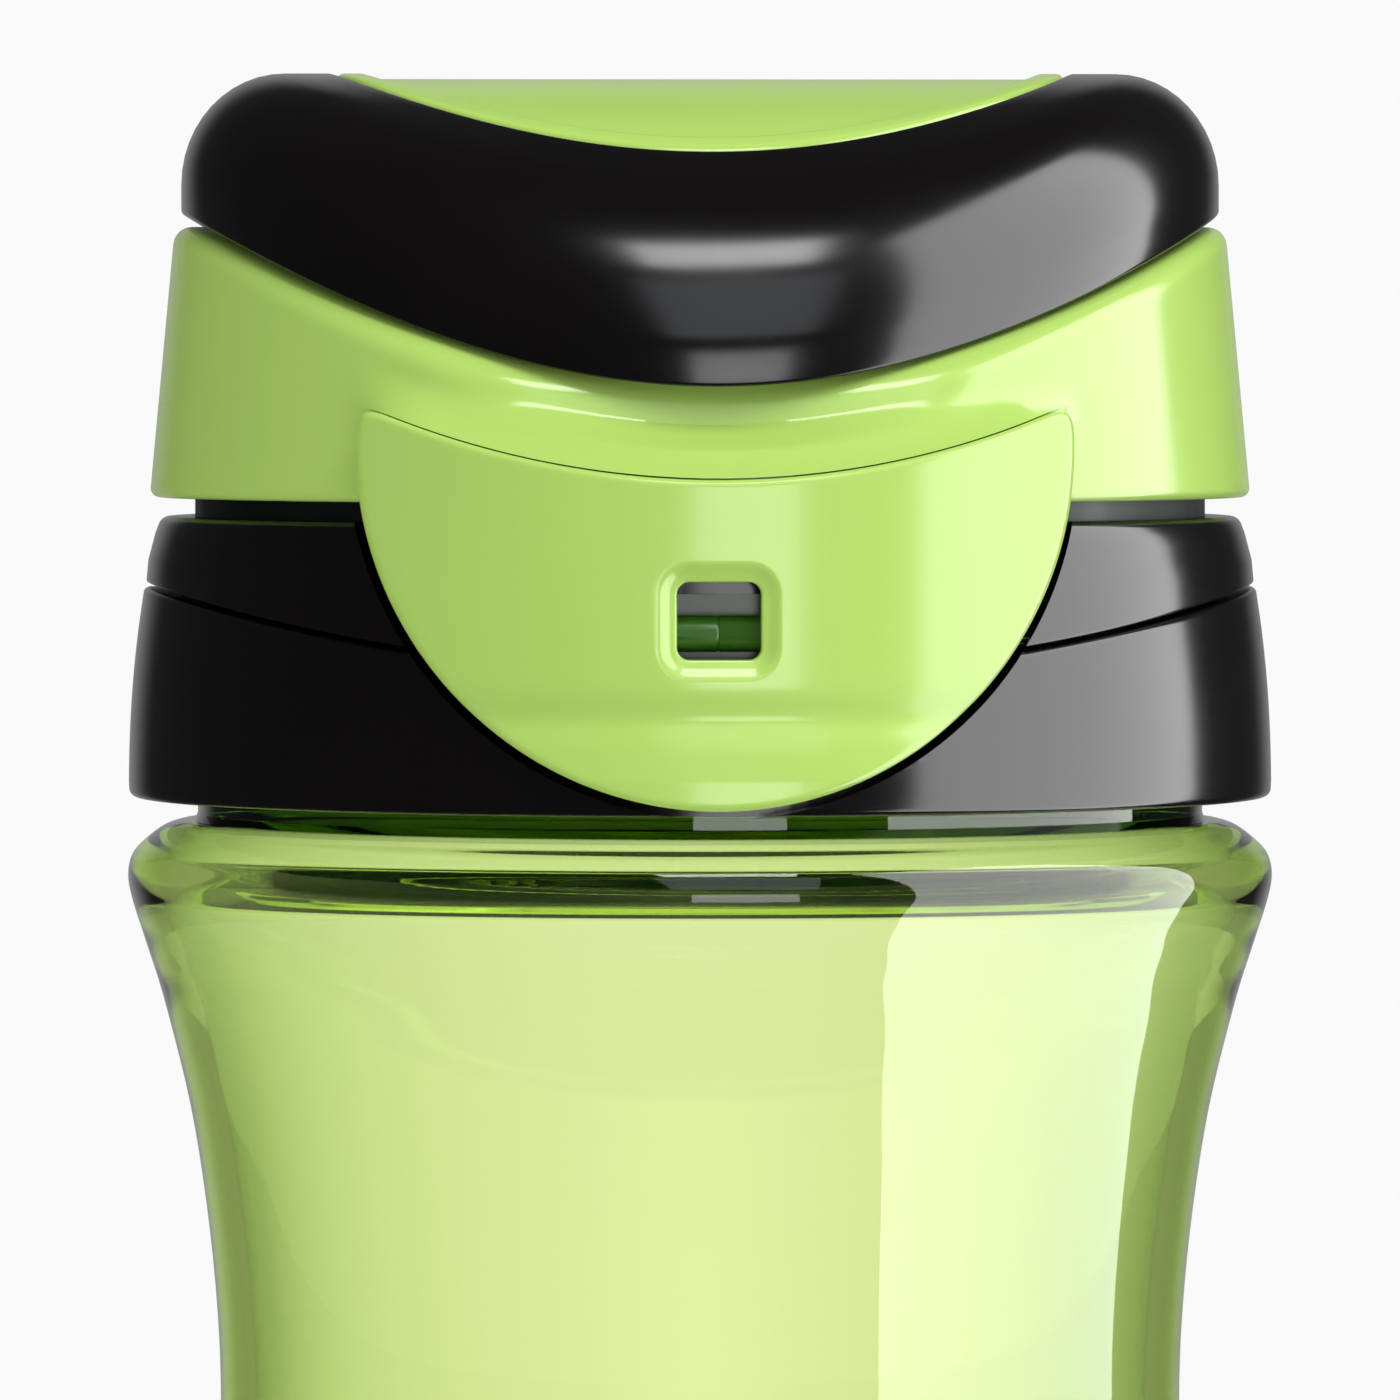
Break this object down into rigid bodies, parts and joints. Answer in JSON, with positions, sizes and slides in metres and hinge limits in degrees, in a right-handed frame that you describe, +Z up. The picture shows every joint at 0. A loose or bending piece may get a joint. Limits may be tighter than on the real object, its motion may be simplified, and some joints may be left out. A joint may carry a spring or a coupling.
{
  "type": "kids water bottle",
  "caption": "Waisted clear green drinking bottle with a screw-on lid, a flip-top cap held by a round front latch tab, and a drinking spout under the cap.",
  "frame": {"origin": "centre of the bottle's base, on the surface it stands on", "axes": "+Z up along the bottle's axis; the front, with the latch tab, faces -Y; +X is to the right seen from the front"},
  "size_m": [0.0722, 0.0746, 0.19],
  "materials": {
    "clear_green": "clear tinted copolyester, polished",
    "green": "satin-gloss moulded polypropylene",
    "deep_green": "gloss moulded polypropylene",
    "black": "satin-gloss black",
    "silicone": "matt translucent silicone",
    "dark_seal": "matt dark silicone",
    "steel": "bright stainless wire"
  },
  "bodies": {
    "bottle": {"bottle_body": "clear_green"},
    "gasket": {"neck_gasket": "silicone"},
    "lid": {"lid_body": "deep_green", "collar_shell": "black", "deck_shell": "black", "cap_seal": "dark_seal", "spout": "silicone", "spout_retainer": "deep_green", "flow_valve": "silicone", "vent_valve": "silicone", "hinge_pin": "steel", "hinge_spring": "steel", "latch_pin": "deep_green", "latch_spring": "steel"},
    "cap": {"cap_shell": "green", "crown_grip": "black", "crown_inlay": "green", "plug_carrier": "deep_green", "spout_plug": "silicone"},
    "latch": {"latch_tab": "green"}
  },
  "joints": [
    {"name": "lid_lift", "type": "slide", "parent": "bottle", "child": "gasket", "axis": [0, 0, 1], "range_m": [0, 0.012]},
    {"name": "lid_turn", "type": "hinge", "parent": "gasket", "child": "lid", "pos_m": [0, 0, 0.15], "axis": [0, 0, 1], "range_deg": [0, 540]},
    {"name": "cap_flip", "type": "hinge", "parent": "lid", "child": "cap", "pos_m": [0, 0.0352, 0.16], "axis": [-1, 0, 0], "range_deg": [0, 120], "deforming": ["hinge_spring"]},
    {"name": "latch_press", "type": "hinge", "parent": "lid", "child": "latch", "pos_m": [0, -0.0339, 0.1555], "axis": [1, 0, 0], "range_deg": [0, 6], "stiffness_Nm_per_rad": 0.3, "springref_deg": -2.86, "deforming": ["latch_spring"]}
  ],
  "couplings": [
    {"joint": "lid_lift", "follows": "lid_turn", "m_per_rad": 0.0012732}
  ]
}
